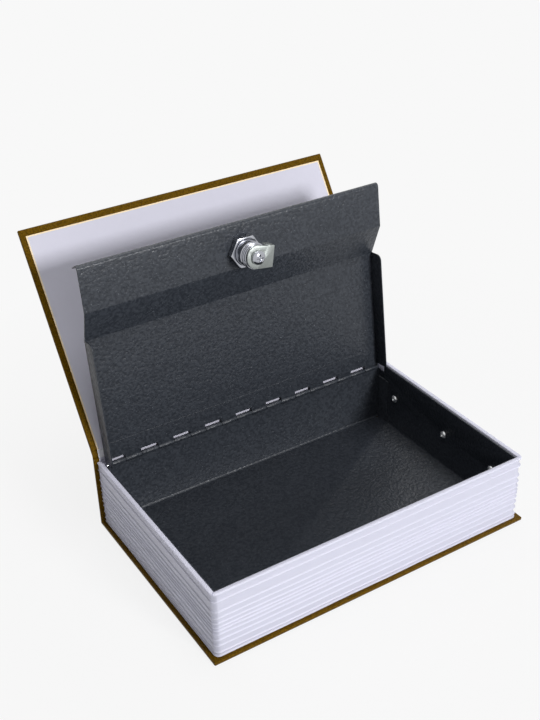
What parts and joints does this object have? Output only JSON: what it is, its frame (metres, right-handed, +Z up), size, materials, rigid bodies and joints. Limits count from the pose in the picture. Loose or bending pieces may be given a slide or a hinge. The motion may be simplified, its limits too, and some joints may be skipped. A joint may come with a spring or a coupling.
{
  "type": "book diversion safe",
  "caption": "Hardcover-book-shaped diversion safe, open: hinged cover on a cloth joint over a folded steel box with a stepped, cam-locked lid on a piano hinge.",
  "frame": {"origin": "centre of the back cover's underside", "axes": "+X along the book's length, -Y towards the fore edge, +Y towards the spine, +Z up out of the open box"},
  "size_m": [0.24, 0.2429, 0.1924],
  "materials": {
    "leatherette": "grained, satin",
    "greyboard": "uncoated",
    "endpaper": "uncoated",
    "page_plastic": "moulded, satin",
    "painted_steel": "hammered powder coat",
    "rivet_aluminium": "plain",
    "pin_steel": "drawn wire",
    "lock_chrome": "bright",
    "lock_zinc": "zinc plated",
    "wafer_brass": "stamped"
  },
  "bodies": {
    "root": {"back_board": "greyboard", "spine_board": "greyboard", "spine_paper": "endpaper", "rear_wrap": "leatherette", "page_block_shell": "page_plastic", "steel_box": "painted_steel", "strike_bracket": "painted_steel", "wall_rivet_1": "rivet_aluminium", "wall_rivet_2": "rivet_aluminium", "wall_rivet_3": "rivet_aluminium", "wall_rivet_4": "rivet_aluminium", "wall_rivet_5": "rivet_aluminium", "wall_rivet_6": "rivet_aluminium", "hinge_pin": "pin_steel"},
    "lid": {"lid_panel": "painted_steel", "lock_barrel": "lock_chrome", "lock_nut": "lock_chrome"},
    "lock_core": {"lock_plug": "lock_zinc", "lock_wafer_1": "wafer_brass", "lock_wafer_2": "wafer_brass", "lock_wafer_3": "wafer_brass", "lock_wafer_4": "wafer_brass", "lock_wafer_5": "wafer_brass", "lock_cam": "lock_zinc", "cam_washer": "lock_zinc", "cam_screw": "lock_chrome"},
    "joint_strip": {"joint_strip": "leatherette"},
    "front_cover": {"front_board": "greyboard", "front_wrap": "leatherette", "front_endpaper": "endpaper"}
  },
  "joints": [
    {"name": "lid_hinge", "type": "hinge", "parent": "root", "child": "lid", "pos_m": [0, 0.0751, 0.0478], "axis": [1, 0, 0], "range_deg": [0, 97]},
    {"name": "joint_strip_fold", "type": "hinge", "parent": "root", "child": "joint_strip", "pos_m": [0, 0.07885, 0.0565], "axis": [1, 0, 0], "range_deg": [0, 103]},
    {"name": "cover_hinge", "type": "hinge", "parent": "joint_strip", "child": "front_cover", "pos_m": [0, 0.07885, 0.0565], "axis": [1, 0, 0], "range_deg": [-140, 20.1]},
    {"name": "lock_turn", "type": "hinge", "parent": "lid", "child": "lock_core", "pos_m": [0.002, 0.07897, 0.17286], "axis": [0, -0.9925, 0.1219], "range_deg": [0, 90]}
  ],
  "couplings": [
    {"joint": "joint_strip_fold", "follows": "lid_hinge", "ratio": 1.0619}
  ]
}
